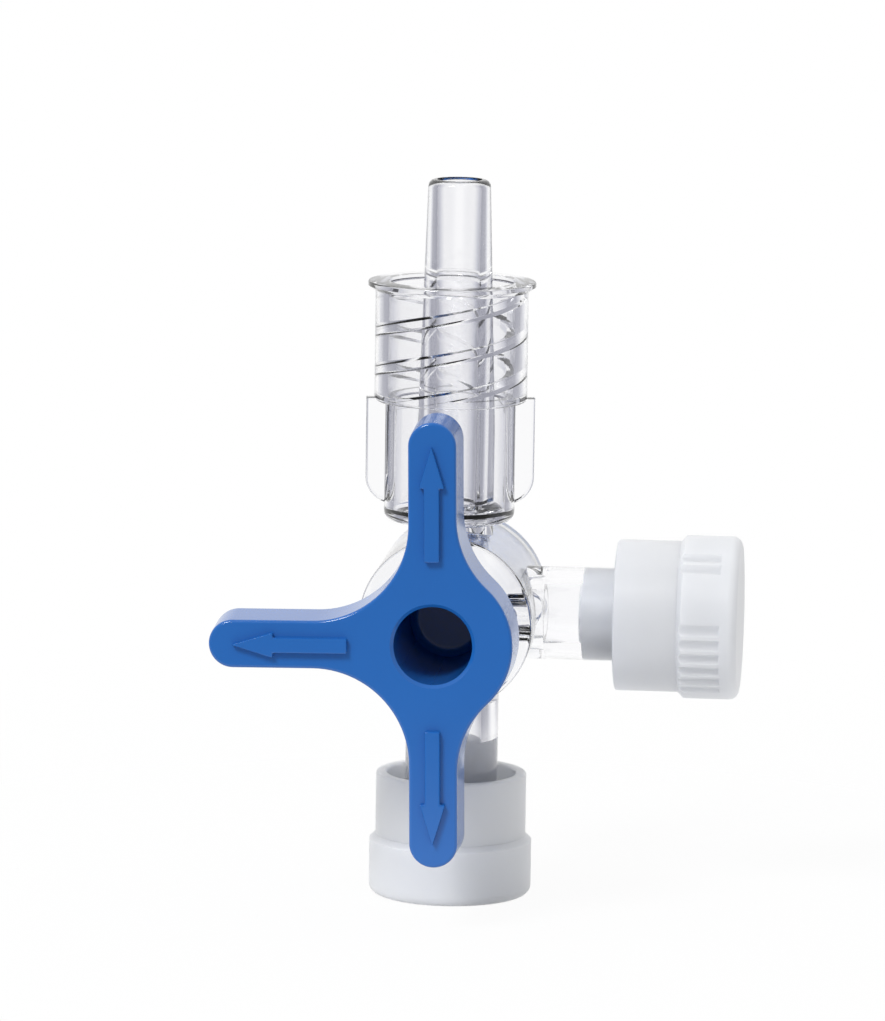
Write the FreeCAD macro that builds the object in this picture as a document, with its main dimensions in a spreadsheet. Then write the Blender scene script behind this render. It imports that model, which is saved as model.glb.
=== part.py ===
import FreeCAD, Part
import math
import os
import Sketcher

# Three way stopcock, millimetres.
# It stands on the flat end of its lower cap. The origin is the middle of that end, +Z runs up the
# main line to the male luer, +X to the side port, and the handle looks along -Y.
# Each moulding is drawn about the point where the port lines cross, and is then lifted to it.

doc = FreeCAD.newDocument("three_way_stopcock")
sheet = doc.addObject("Spreadsheet::Sheet", "Sizes")

SIZES = {
    # Barrel, measured from the plane of the port lines
    "barrel_radius": 5.5,
    "barrel_front": 5.85,
    "barrel_back": 6.05,
    "plug_radius": 3.85,
    "plug_clearance": 0.05,
    "snap_depth": 0.15,
    "snap_width": 0.8,
    "snap_from_front": 0.5,
    "snap_play": 0.1,
    # Female luer ports, measured along each port line from the crossing
    "port_reach": 16.8,
    "port_tube_radius": 2.95,
    "port_mouth_radius": 3.3,
    "port_mouth_length": 3.4,
    "port_mouth_slope": 0.74,
    "port_mouth_edge": 0.15,
    "port_mouth_bore": 2.16,
    "luer_taper": 0.03,
    "port_cone_depth": 8.8,
    "port_seat_depth": 10.9,
    "port_bore": 1.5,
    "lug_radius": 3.9,
    "lug_root_width": 1.1,
    "lug_crest_width": 0.5,
    "lug_from_mouth": 2.2,
    "lug_rise": 1.5,
    "lug_sink": 0.05,
    "thread_lead": 5.0,
    # Male luer cone and the stem under it
    "luer_reach": 27.55,
    "luer_tip_radius": 1.98,
    "luer_tip_round": 0.45,
    "luer_bore": 1.42,
    "stem_radius": 2.45,
    "stop_ring_play": 0.3,
    "stop_ring_rise": 0.45,
    "stop_ring_radius": 3.0,
    "passage_radius": 1.25,
    # Lock collar, measured up the main line from the crossing
    "collar_bottom": 5.8,
    "collar_step": 13.45,
    "collar_rim": 21.1,
    "collar_shift": 0.38,
    "collar_upper_radius": 4.85,
    "collar_lower_radius": 4.15,
    "collar_foot_round": 0.6,
    "collar_step_round": 0.25,
    "lip_radius": 5.32,
    "lip_thickness": 0.3,
    "lip_edge": 0.1,
    "socket_radius": 4.0,
    "socket_floor": 0.45,
    "collar_bore": 3.55,
    "neck_bore": 2.9,
    "neck_height": 0.5,
    "thread_crest": 3.5,
    "thread_root_width": 0.85,
    "thread_crest_width": 0.45,
    "thread_sink": 0.05,
    "thread_run_in": 0.95,
    "thread_from_rim": 0.7,
    "wing_reach": 5.35,
    "wing_thickness": 1.1,
    "wing_bottom": 6.9,
    "wing_over_step": 0.2,
    "wing_round": 1.7,
    "wing_turn": 8.0,
    # Tap handle, measured from the crossing towards the viewer. The outline is the one at the back
    # of the arms, and the draft narrows it towards the face.
    "handle_face": 14.05,
    "arm_depth": 4.0,
    "arm_width": 3.2,
    "arm_reach": 14.05,
    "web_radius": 5.9,
    "hub_radius": 5.05,
    "hub_hole_radius": 2.45,
    "hub_hole_floor": 2.9,
    "hub_hole_round": 0.6,
    "plug_end_gap": 0.3,
    "plug_end_chamfer": 0.3,
    "edge_round": 0.18,
    "draft_angle": 1.5,
    "handle_turn": 0.94,
    # Raised arrow on each arm
    "arrow_start": 5.3,
    "arrow_point": 12.5,
    "arrow_head_length": 2.6,
    "arrow_head_width": 1.6,
    "arrow_shaft_width": 0.95,
    "arrow_height": 0.45,
    "arrow_edge": 0.1,
    # Caps. Their closed end stands past the port's mouth.
    "cap_past_mouth": 1.5,
    "cap_length": 7.86,
    "cap_wall_end": 1.3,
    "skirt_radius": 4.8,
    "skirt_bore": 4.1,
    "band_length": 3.85,
    "band_radius": 5.18,
    "band_slope": 0.35,
    "cap_end_round": 0.6,
    "cap_rim_round": 0.15,
    "cone_gap": 0.03,
    "cone_tip_gap": 0.15,
    "cone_tip_round": 0.2,
    "grip_depth": 0.2,
    "grip_cutter_radius": 0.45,
    "grip_from_end": 1.1,
    "grip_step": 10.6,
    "grip_smooth_angle": 45.4,
    "grip_turn": -89.4,
}

COUNTS = {
    "wings": 2,
    "thread_starts": 2,
    "short_grip_grooves": 2,
    "long_grip_grooves": 6,
}

ARMS = 3
ORIGIN = -1
ALONG_X = FreeCAD.Vector(1, 0, 0)
ALONG_Y = FreeCAD.Vector(0, 1, 0)
ALONG_Z = FreeCAD.Vector(0, 0, 1)


def fill_sheet():
    """Write each driving size to its own named cell."""
    for row, (name, value) in enumerate({**SIZES, **COUNTS}.items(), start=1):
        sheet.set(f"A{row}", name)
        sheet.set(f"B{row}", str(value))
        sheet.setAlias(f"B{row}", name)
    doc.recompute()


def cell(text):
    """Turn plain size names in a formula into references to the sheet."""
    words = text.replace("(", " ( ").replace(")", " ) ").split()
    return " ".join(f"Sizes.{word}" if word in SIZES or word in COUNTS else word for word in words)


def bind(thing, prop, text):
    thing.setExpression(prop, cell(text))


def new_body(label):
    """A moulding whose own zero is the crossing of the port lines, a cap's length above the ground."""
    body = doc.addObject("PartDesign::Body", label)
    body.Label = label
    bind(body, "Placement.Base.z", "port_reach + cap_past_mouth")
    return body


def origin_part(body, role):
    return next(item for item in body.Origin.OriginFeatures if item.Role == role)


def new_sketch(body, name, role, offset=None):
    """A sketch on one of the body's own planes, moved along that plane's normal."""
    sketch = body.newObject("Sketcher::SketchObject", name)
    sketch.AttachmentSupport = [(origin_part(body, role), "")]
    sketch.MapMode = "FlatFace"
    if offset:
        bind(sketch, "AttachmentOffset.Base.z", offset)
    return sketch


def outline(body, name, role, points, offset=None):
    """A closed outline of straight edges. Each point is a pair of formulas."""
    sketch = new_sketch(body, name, role, offset)
    count = len(points)
    ring = [FreeCAD.Vector(math.cos(2 * math.pi * i / count), math.sin(2 * math.pi * i / count), 0)
            for i in range(count)]
    for i in range(count):
        sketch.addGeometry(Part.LineSegment(ring[i], ring[(i + 1) % count]))
    for i in range(count):
        sketch.addConstraint(Sketcher.Constraint("Coincident", i, 2, (i + 1) % count, 1))
    for i, (across, along) in enumerate(points):
        for kind, start, text in (("DistanceX", ring[i].x, across), ("DistanceY", ring[i].y, along)):
            index = sketch.addConstraint(Sketcher.Constraint(kind, ORIGIN, 1, i, 1, start))
            bind(sketch, f"Constraints[{index}]", text)
    return sketch


def circle(body, name, role, radius, offset=None):
    sketch = new_sketch(body, name, role, offset)
    sketch.addGeometry(Part.Circle(FreeCAD.Vector(0, 0, 0), FreeCAD.Vector(0, 0, 1), 1))
    sketch.addConstraint(Sketcher.Constraint("Coincident", 0, 3, ORIGIN, 1))
    index = sketch.addConstraint(Sketcher.Constraint("Radius", 0, 1))
    bind(sketch, f"Constraints[{index}]", radius)
    return sketch


def feature(body, kind, name, sketch):
    thing = body.newObject(f"PartDesign::{kind}", name)
    thing.Profile = sketch
    sketch.Visibility = False
    return thing


def turned(body, name, sketch, axis="V_Axis", cut=False):
    """Turn an outline all the way round one of its sketch's axes."""
    thing = feature(body, "Groove" if cut else "Revolution", name, sketch)
    thing.ReferenceAxis = (sketch, [axis])
    thing.Angle = 360
    doc.recompute()
    return thing


def padded(body, name, sketch, length, backwards=False):
    thing = feature(body, "Pad", name, sketch)
    thing.Reversed = backwards
    bind(thing, "Length", length)
    doc.recompute()
    return thing


def helix(body, name, sketch, axis, rise):
    """A ridge wound up an axis, one for each start of the thread."""
    ridge = feature(body, "AdditiveHelix", name, sketch)
    ridge.ReferenceAxis = (sketch, [axis])
    ridge.Mode = "pitch-height-angle"
    bind(ridge, "Pitch", "thread_lead")
    bind(ridge, "Height", rise)
    doc.recompute()
    around = body.newObject("PartDesign::PolarPattern", f"{name}_starts")
    around.Originals = [ridge]
    around.Axis = (sketch, [axis])
    around.Angle = 360
    bind(around, "Occurrences", "thread_starts")
    body.Tip = around
    doc.recompute()
    return around


def ring_edges(shape, radius, axis, place):
    """Names of the round edges of one radius that lie at one place along an axis."""
    names = []
    for number, edge in enumerate(shape.Edges, start=1):
        curve = edge.Curve
        if isinstance(curve, Part.Circle) and abs(curve.Radius - radius) < 1e-4:
            if abs(curve.Center.dot(axis) - place) < 1e-4 and abs(curve.Axis.dot(axis)) > 0.999:
                names.append(f"Edge{number}")
    return names


def rounded(body, name, base, edges, radius):
    """Round the named edges of the last feature."""
    thing = body.newObject("PartDesign::Fillet", name)
    thing.Base = (base, edges)
    bind(thing, "Radius", radius)
    doc.recompute()
    return thing


def rim_edges(body, radius, axis, places):
    """Round edges of one radius on the body's last feature, at some places along an axis."""
    return [name for place in places for name in ring_edges(body.Tip.Shape, radius, axis, place)]


def tangent_arc(centre, radius, start, sweep):
    """An arc from one angle, in degrees, through a signed sweep."""
    circle_line = Part.Circle(FreeCAD.Vector(*centre, 0), FreeCAD.Vector(0, 0, 1), radius)
    low, high = sorted((math.radians(start), math.radians(start + sweep)))
    return Part.ArcOfCircle(circle_line, low, high)


# Housing: one clear moulding with a barrel, two female ports and the male luer

def female_port(body, name, axis):
    """Tube, mouth, two lugs and bore of a port along the sketch's X (H_Axis) or -Z (V_Axis)."""
    def place(radius, reach):
        return (reach, radius) if axis == "H_Axis" else (radius, f"-( {reach} )")

    tube = outline(body, f"{name}_tube_outline", "XZ_Plane", [
        place("0", "0"),
        place("0", "port_reach"),
        place("port_mouth_radius", "port_reach"),
        place("port_mouth_radius", "port_reach - port_mouth_length"),
        place("port_tube_radius", "port_reach - port_mouth_length - port_mouth_slope"),
        place("port_tube_radius", "0")])
    turned(body, f"{name}_tube", tube, axis)
    # The ridge climbs along the axis: away from the barrel on the side port, towards it on the lower
    middle = "port_reach - lug_from_mouth" + ("" if axis == "H_Axis" else " + lug_rise")
    lug = outline(body, f"{name}_lug_outline", "XZ_Plane", [
        place("port_mouth_radius - lug_sink", f"{middle} - lug_root_width / 2"),
        place("port_mouth_radius - lug_sink", f"{middle} + lug_root_width / 2"),
        place("lug_radius", f"{middle} + lug_crest_width / 2"),
        place("lug_radius", f"{middle} - lug_crest_width / 2")])
    lugs = helix(body, f"{name}_lugs", lug, axis, "lug_rise")
    return lugs


def port_bore(body, name, axis):
    """Tapered seat that the cap's cone or a luer tip goes into, and the passage behind it."""
    def place(radius, reach):
        return (reach, radius) if axis == "H_Axis" else (radius, f"-( {reach} )")

    bore = outline(body, f"{name}_bore_outline", "XZ_Plane", [
        place("0", "plug_radius / 2"),
        place("0", "port_reach + cap_wall_end"),
        place("port_mouth_bore", "port_reach + cap_wall_end"),
        place("port_mouth_bore", "port_reach"),
        place("port_mouth_bore - luer_taper * port_seat_depth", "port_reach - port_seat_depth"),
        place("port_bore", "port_reach - port_seat_depth"),
        place("port_bore", "plug_radius / 2")])
    turned(body, f"{name}_bore", bore, axis, cut=True)


def make_housing():
    ring_foot = "collar_bottom + neck_height + stop_ring_play"
    body = new_body("housing")
    ring = circle(body, "barrel_circle", "XZ_Plane", "barrel_radius", "barrel_front")
    padded(body, "barrel", ring, "barrel_front + barrel_back", backwards=True)
    stem = outline(body, "stem_outline", "XZ_Plane", [
        ("0", "0"),
        ("stem_radius", "0"),
        ("stem_radius", ring_foot),
        ("stop_ring_radius", ring_foot),
        ("stop_ring_radius", f"{ring_foot} + stop_ring_rise / 3"),
        ("stem_radius", f"{ring_foot} + stop_ring_rise"),
        ("stem_radius", "luer_reach - ( stem_radius - luer_tip_radius ) / luer_taper"),
        ("luer_tip_radius", "luer_reach"),
        ("0", "luer_reach")])
    turned(body, "stem", stem)
    female_port(body, "side", "H_Axis")
    female_port(body, "lower", "V_Axis")
    stem_bore = outline(body, "stem_bore_outline", "XZ_Plane", [
        ("0", "plug_radius / 2"),
        ("passage_radius", "plug_radius / 2"),
        ("luer_bore", "luer_reach"),
        ("luer_bore", "luer_reach + cap_wall_end"),
        ("0", "luer_reach + cap_wall_end")])
    turned(body, "stem_bore", stem_bore, cut=True)
    port_bore(body, "side", "H_Axis")
    port_bore(body, "lower", "V_Axis")
    snap_front = "- barrel_front + snap_from_front"
    bore = outline(body, "barrel_bore_outline", "XY_Plane", [
        ("0", "- barrel_front - cap_wall_end"),
        ("plug_radius + plug_clearance", "- barrel_front - cap_wall_end"),
        ("plug_radius + plug_clearance", snap_front),
        ("plug_radius + plug_clearance - snap_depth", f"{snap_front} + snap_depth"),
        ("plug_radius + plug_clearance - snap_depth", f"{snap_front} + snap_width - snap_depth"),
        ("plug_radius + plug_clearance", f"{snap_front} + snap_width"),
        ("plug_radius + plug_clearance", "barrel_back + cap_wall_end"),
        ("0", "barrel_back + cap_wall_end")])
    turned(body, "barrel_bore", bore, cut=True)
    rims = rim_edges(body, SIZES["barrel_radius"], ALONG_Y, [-SIZES["barrel_front"], SIZES["barrel_back"]])
    rounded(body, "barrel_rims", body.Tip, rims, "edge_round")
    tip = rim_edges(body, SIZES["luer_tip_radius"], ALONG_Z, [SIZES["luer_reach"]])
    rounded(body, "luer_tip", body.Tip, tip, "luer_tip_round")
    for name, axis, reach in (("side", ALONG_X, SIZES["port_reach"]), ("lower", ALONG_Z, -SIZES["port_reach"])):
        mouth = rim_edges(body, SIZES["port_mouth_radius"], axis, [reach])
        rounded(body, f"{name}_mouth_edge", body.Tip, mouth, "port_mouth_edge")
    return body


# Lock collar: loose on the stem, with a two start thread in its socket and two finger wings

def make_wing_outline(body):
    """One wing, from the collar's axis to its reach, with a round lower corner."""
    reach = SIZES["wing_reach"]
    low = SIZES["wing_bottom"]
    high = SIZES["collar_step"] + SIZES["wing_over_step"]
    turn = SIZES["wing_round"]
    sketch = new_sketch(body, "wing_outline", "XZ_Plane")
    corners = [((0, low), (reach - turn, low)),
               ((reach, low + turn), (reach, high)),
               ((reach, high), (0, high)),
               ((0, high), (0, low))]
    floor, side, top, root = [
        sketch.addGeometry(Part.LineSegment(FreeCAD.Vector(*start, 0), FreeCAD.Vector(*end, 0)))
        for start, end in corners]
    corner = sketch.addGeometry(tangent_arc((reach - turn, low + turn), turn, -90, 90))
    for kind, *ends in (("Tangent", floor, 2, corner, 1), ("Tangent", corner, 2, side, 1),
                        ("Coincident", side, 2, top, 1), ("Coincident", top, 2, root, 1),
                        ("Coincident", root, 2, floor, 1), ("Horizontal", floor), ("Horizontal", top),
                        ("Vertical", side), ("Vertical", root)):
        sketch.addConstraint(Sketcher.Constraint(kind, *ends))
    for kind, line, start, text in (
            ("DistanceX", floor, 0, "0"),
            ("DistanceY", floor, low, "wing_bottom"),
            ("DistanceX", top, reach, "wing_reach"),
            ("DistanceY", top, high, "collar_step + wing_over_step")):
        index = sketch.addConstraint(Sketcher.Constraint(kind, ORIGIN, 1, line, 1, start))
        bind(sketch, f"Constraints[{index}]", text)
    index = sketch.addConstraint(Sketcher.Constraint("Radius", corner, turn))
    bind(sketch, f"Constraints[{index}]", "wing_round")
    return sketch


def make_collar():
    floor = "collar_step + socket_floor"
    thread_start = "collar_step + socket_floor - thread_run_in"
    body = new_body("lock_collar")
    bind(body, "Placement.Base.x", "- collar_shift")
    outside = outline(body, "collar_outline", "XZ_Plane", [
        ("0", "collar_bottom"),
        ("collar_lower_radius", "collar_bottom"),
        ("collar_lower_radius", "collar_step"),
        ("collar_upper_radius", "collar_step"),
        ("collar_upper_radius", "collar_rim - lip_thickness * 2"),
        ("lip_radius", "collar_rim - lip_thickness"),
        ("lip_radius", "collar_rim"),
        ("0", "collar_rim")])
    turned(body, "collar_outside", outside)
    for name, radius, place, size in (
            ("foot", "collar_lower_radius", "collar_bottom", "collar_foot_round"),
            ("step", "collar_upper_radius", "collar_step", "collar_step_round"),
            ("lip", "lip_radius", "collar_rim", "lip_edge")):
        edges = rim_edges(body, SIZES[radius], ALONG_Z, [SIZES[place]])
        rounded(body, f"{name}_edge", body.Tip, edges, size)
    wing = make_wing_outline(body)
    blade = feature(body, "Pad", "wing", wing)
    blade.SideType = "Symmetric"
    bind(blade, "Length", "wing_thickness")
    doc.recompute()
    pair = body.newObject("PartDesign::PolarPattern", "wings")
    pair.Originals = [blade]
    pair.Axis = (wing, ["V_Axis"])
    pair.Angle = 360
    bind(pair, "Occurrences", "wings")
    body.Tip = pair
    doc.recompute()
    inside = outline(body, "socket_outline", "XZ_Plane", [
        ("0", "collar_bottom - neck_height"),
        ("neck_bore", "collar_bottom - neck_height"),
        ("neck_bore", "collar_bottom + neck_height"),
        ("collar_bore", "collar_bottom + neck_height + ( collar_bore - neck_bore ) / 2"),
        ("collar_bore", floor),
        ("socket_radius", floor),
        ("socket_radius", "collar_rim + neck_height"),
        ("0", "collar_rim + neck_height")])
    turned(body, "socket", inside, cut=True)
    ridge = outline(body, "thread_outline", "XZ_Plane", [
        ("socket_radius + thread_sink", f"{thread_start} - thread_root_width / 2"),
        ("socket_radius + thread_sink", f"{thread_start} + thread_root_width / 2"),
        ("thread_crest", f"{thread_start} + thread_crest_width / 2"),
        ("thread_crest", f"{thread_start} - thread_crest_width / 2")])
    helix(body, "thread", ridge, "V_Axis", f"collar_rim - thread_from_rim - ( {thread_start} )")
    return body


# Tap: one blue moulding, handle in front and plug behind

def make_handle_outline(body):
    """Three round ended arms up, left and down, webs between them and a round hub on the right."""
    half = SIZES["arm_width"] / 2
    web = SIZES["web_radius"]
    hub = SIZES["hub_radius"]
    tip = SIZES["arm_reach"] - half
    web_up = math.sqrt((hub + web) ** 2 - (half + web) ** 2)
    hub_angle = math.degrees(math.atan2(web_up, half + web))
    sketch = new_sketch(body, "handle_outline", "XZ_Plane", "handle_face - arm_depth")

    def line(start, end):
        return Part.LineSegment(FreeCAD.Vector(*start, 0), FreeCAD.Vector(*end, 0))

    parts = [
        ("top_tip", tangent_arc((0, tip), half, 0, 180)),
        ("top_left_edge", line((-half, tip), (-half, half + web))),
        ("upper_web", tangent_arc((-half - web, half + web), web, 0, -90)),
        ("left_top_edge", line((-half - web, half), (-tip, half))),
        ("left_tip", tangent_arc((-tip, 0), half, 90, 180)),
        ("left_low_edge", line((-tip, -half), (-half - web, -half))),
        ("lower_web", tangent_arc((-half - web, -half - web), web, 90, -90)),
        ("low_left_edge", line((-half, -half - web), (-half, -tip))),
        ("low_tip", tangent_arc((0, -tip), half, 180, 180)),
        ("low_right_edge", line((half, -tip), (half, -web_up))),
        ("low_shoulder", tangent_arc((half + web, -web_up), web, 180, -hub_angle)),
        ("hub", tangent_arc((0, 0), hub, -hub_angle, 2 * hub_angle)),
        ("top_shoulder", tangent_arc((half + web, web_up), web, 180 + hub_angle, -hub_angle)),
        ("top_right_edge", line((half, web_up), (half, tip)))]
    number = {}
    for name, part in parts:
        number[name] = sketch.addGeometry(part)

    def ends(name):
        """First and last end of a piece, in the order that the outline runs through them."""
        backwards = name.endswith("_web") or name.endswith("_shoulder")
        return (2, 1) if backwards else (1, 2)

    order = [name for name, part in parts]
    for name, after in zip(order, order[1:] + order[:1]):
        sketch.addConstraint(Sketcher.Constraint(
            "Tangent", number[name], ends(name)[1], number[after], ends(after)[0]))
    for name in ("top_left_edge", "low_left_edge", "low_right_edge", "top_right_edge"):
        sketch.addConstraint(Sketcher.Constraint("Vertical", number[name]))
    sketch.addConstraint(Sketcher.Constraint("Horizontal", number["left_top_edge"]))

    def centre_at(name, across, along):
        centre = sketch.getPoint(number[name], 3)
        for kind, value, text in (("DistanceX", centre.x, across), ("DistanceY", centre.y, along)):
            index = sketch.addConstraint(Sketcher.Constraint(kind, ORIGIN, 1, number[name], 3, value))
            bind(sketch, f"Constraints[{index}]", text)

    def radius_of(name, value, text):
        index = sketch.addConstraint(Sketcher.Constraint("Radius", number[name], value))
        bind(sketch, f"Constraints[{index}]", text)

    centre_at("top_tip", "0", "arm_reach - arm_width / 2")
    centre_at("left_tip", "- ( arm_reach - arm_width / 2 )", "0")
    centre_at("low_tip", "0", "- ( arm_reach - arm_width / 2 )")
    centre_at("hub", "0", "0")
    centre_at("upper_web", "- ( arm_width / 2 + web_radius )", "arm_width / 2 + web_radius")
    centre_at("lower_web", "- ( arm_width / 2 + web_radius )", "- ( arm_width / 2 + web_radius )")
    for name in ("upper_web", "lower_web", "top_shoulder", "low_shoulder"):
        radius_of(name, web, "web_radius")
    radius_of("hub", hub, "hub_radius")
    return sketch


def make_tap():
    body = new_body("tap")
    handle = padded(body, "handle", make_handle_outline(body), "arm_depth")
    bind(handle, "TaperAngle", "- draft_angle")
    doc.recompute()
    face = [f"Edge{number}" for number, edge in enumerate(handle.Shape.Edges, start=1)
            if edge.BoundBox.YMax < SIZES["edge_round"] - SIZES["handle_face"]]
    rounded(body, "face_edges", handle, face, "edge_round")
    snap_front = "- barrel_front + snap_from_front - snap_play"
    plug = outline(body, "plug_outline", "XY_Plane", [
        ("0", "- handle_face + arm_depth / 2"),
        ("plug_radius", "- handle_face + arm_depth / 2"),
        ("plug_radius", snap_front),
        ("plug_radius - snap_depth", f"{snap_front} + snap_depth"),
        ("plug_radius - snap_depth", f"{snap_front} + snap_width - snap_depth + 2 * snap_play"),
        ("plug_radius", f"{snap_front} + snap_width + 2 * snap_play"),
        ("plug_radius", "barrel_back - plug_end_gap - plug_end_chamfer"),
        ("plug_radius - plug_end_chamfer", "barrel_back - plug_end_gap"),
        ("0", "barrel_back - plug_end_gap")])
    turned(body, "plug", plug)
    hole = outline(body, "hub_hole_outline", "XY_Plane", [
        ("0", "- handle_face - arrow_height"),
        ("hub_hole_radius", "- handle_face - arrow_height"),
        ("hub_hole_radius", "- hub_hole_floor"),
        ("0", "- hub_hole_floor")])
    turned(body, "hub_hole", hole, cut=True)
    hole_radius = SIZES["hub_hole_radius"]
    rounded(body, "hub_hole_corner", body.Tip,
            rim_edges(body, hole_radius, ALONG_Y, [-SIZES["hub_hole_floor"]]), "hub_hole_round")
    rounded(body, "hub_hole_rim", body.Tip,
            rim_edges(body, hole_radius, ALONG_Y, [-SIZES["handle_face"]]), "edge_round")
    through = outline(body, "through_passage_outline", "XZ_Plane", [
        ("0", "- plug_radius - plug_clearance"),
        ("passage_radius", "- plug_radius - plug_clearance"),
        ("passage_radius", "plug_radius + plug_clearance"),
        ("0", "plug_radius + plug_clearance")])
    turned(body, "through_passage", through, cut=True)
    branch = outline(body, "branch_passage_outline", "XZ_Plane", [
        ("0", "0"),
        ("- plug_radius - plug_clearance", "0"),
        ("- plug_radius - plug_clearance", "passage_radius"),
        ("0", "passage_radius")])
    turned(body, "branch_passage", branch, "H_Axis", cut=True)
    arrow = outline(body, "arrow_outline", "XZ_Plane", [
        ("- arrow_shaft_width / 2", "arrow_start"),
        ("- arrow_shaft_width / 2", "arrow_point - arrow_head_length"),
        ("- arrow_head_width / 2", "arrow_point - arrow_head_length"),
        ("0", "arrow_point"),
        ("arrow_head_width / 2", "arrow_point - arrow_head_length"),
        ("arrow_shaft_width / 2", "arrow_point - arrow_head_length"),
        ("arrow_shaft_width / 2", "arrow_start")], "handle_face")
    ridge = padded(body, "arrow", arrow, "arrow_height")
    three = body.newObject("PartDesign::PolarPattern", "arrows")
    three.Originals = [ridge]
    three.Axis = (arrow, ["N_Axis"])
    three.Angle = 180
    three.Occurrences = ARMS
    body.Tip = three
    doc.recompute()
    top = SIZES["handle_face"] + SIZES["arrow_height"]
    edges = [f"Edge{number}" for number, edge in enumerate(body.Tip.Shape.Edges, start=1)
             if edge.BoundBox.YMax < SIZES["arrow_edge"] - top]
    rounded(body, "arrow_edges", body.Tip, edges, "arrow_edge")
    return body


# Caps: the same moulding on both ports, drawn with the port line as its Z

def grip(body, name, angle, count, forwards):
    """A group of shallow finger grooves in the band, from one angle round the cap."""
    sketch = circle(body, f"{name}_cutter", "XY_Plane", "grip_cutter_radius")
    sketch.delConstraint(0)
    sketch.AttachmentOffset = FreeCAD.Placement(
        FreeCAD.Vector(0, 0, 0), FreeCAD.Rotation(FreeCAD.Vector(0, 0, 1), angle))
    bind(sketch, "AttachmentOffset.Base.z", "port_reach + cap_past_mouth - grip_from_end")
    for kind, text in (("DistanceX", "band_radius - grip_depth + grip_cutter_radius"), ("DistanceY", "0")):
        index = sketch.addConstraint(Sketcher.Constraint(kind, ORIGIN, 1, 0, 3, 0))
        bind(sketch, f"Constraints[{index}]", text)
    groove = feature(body, "Pocket", name, sketch)
    bind(groove, "Length", "band_length - grip_from_end")
    doc.recompute()
    group = body.newObject("PartDesign::PolarPattern", f"{name}_grooves")
    group.Originals = [groove]
    group.Axis = (sketch, ["N_Axis"])
    group.Reversed = not forwards
    bind(group, "Angle", f"grip_step * ( {count} - 1 )")
    bind(group, "Occurrences", count)
    body.Tip = group
    doc.recompute()


def make_cap(label):
    body = new_body(label)
    end = "port_reach + cap_past_mouth"
    seat = f"{end} - cap_wall_end"
    rim = f"{end} - cap_length"
    band = f"{end} - band_length"
    tip = "port_reach - port_cone_depth + cone_tip_gap"
    root = "port_mouth_bore - cone_gap"
    shell = outline(body, "cap_outline", "XZ_Plane", [
        ("0", tip),
        (f"{root} - luer_taper * ( port_cone_depth - cone_tip_gap ) - cone_tip_round", tip),
        (f"{root} - luer_taper * ( port_cone_depth - cone_tip_gap )", f"{tip} + cone_tip_round"),
        (f"{root}", "port_reach"),
        (f"{root}", seat),
        ("skirt_bore", seat),
        ("skirt_bore", rim),
        ("skirt_radius", rim),
        ("skirt_radius", band),
        ("band_radius", f"{band} + band_slope"),
        ("band_radius", end),
        ("0", end)])
    turned(body, "cap_shell", shell)
    end_place = SIZES["port_reach"] + SIZES["cap_past_mouth"]
    rim_place = end_place - SIZES["cap_length"]
    outer = rim_edges(body, SIZES["band_radius"], ALONG_Z, [end_place])
    rounded(body, "closed_end_edge", body.Tip, outer, "cap_end_round")
    skirt = rim_edges(body, SIZES["skirt_radius"], ALONG_Z, [rim_place])
    skirt += rim_edges(body, SIZES["skirt_bore"], ALONG_Z, [rim_place])
    rounded(body, "rim_edges", body.Tip, skirt, "cap_rim_round")
    grip(body, "long_grip", 0, "long_grip_grooves", forwards=True)
    grip(body, "short_grip", -SIZES["grip_smooth_angle"], "short_grip_grooves", forwards=False)
    return body


fill_sheet()
housing = make_housing()
collar = make_collar()
tap = make_tap()
side_cap = make_cap("side_port_cap")
bottom_cap = make_cap("bottom_port_cap")
grip_turn = FreeCAD.Rotation(ALONG_Z, SIZES["grip_turn"])
side_cap.Placement.Rotation = FreeCAD.Rotation(ALONG_Y, 90).multiply(grip_turn)
bottom_cap.Placement.Rotation = FreeCAD.Rotation(FreeCAD.Vector(1, 0, 0), 180).multiply(grip_turn)
collar.Placement.Rotation = FreeCAD.Rotation(ALONG_Z, SIZES["wing_turn"])
tap.Placement.Rotation = FreeCAD.Rotation(ALONG_Y, -SIZES["handle_turn"])
doc.recompute()

pieces = [housing, collar, tap, side_cap, bottom_cap]
for item in doc.Objects:
    if "Invalid" in item.State or "Error" in item.State:
        raise RuntimeError(f"{item.Label} failed: {item.State}")
os.makedirs("parts", exist_ok=True)
for piece in pieces:
    if piece.Shape.isNull() or not piece.Shape.isValid() or len(piece.Shape.Solids) != 1:
        raise RuntimeError(f"{piece.Label} is not one valid solid")
for piece in pieces:
    piece.Shape.exportStep(f"parts/{piece.Label}.step")
    box = piece.Shape.BoundBox
    print(f"{piece.Label:16s} volume {piece.Shape.Volume:8.2f} mm3  "
          f"x {box.XMin:.2f} {box.XMax:.2f}  y {box.YMin:.2f} {box.YMax:.2f}  z {box.ZMin:.2f} {box.ZMax:.2f}")
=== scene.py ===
import math
import bpy
from mathutils import Matrix, Vector


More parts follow.
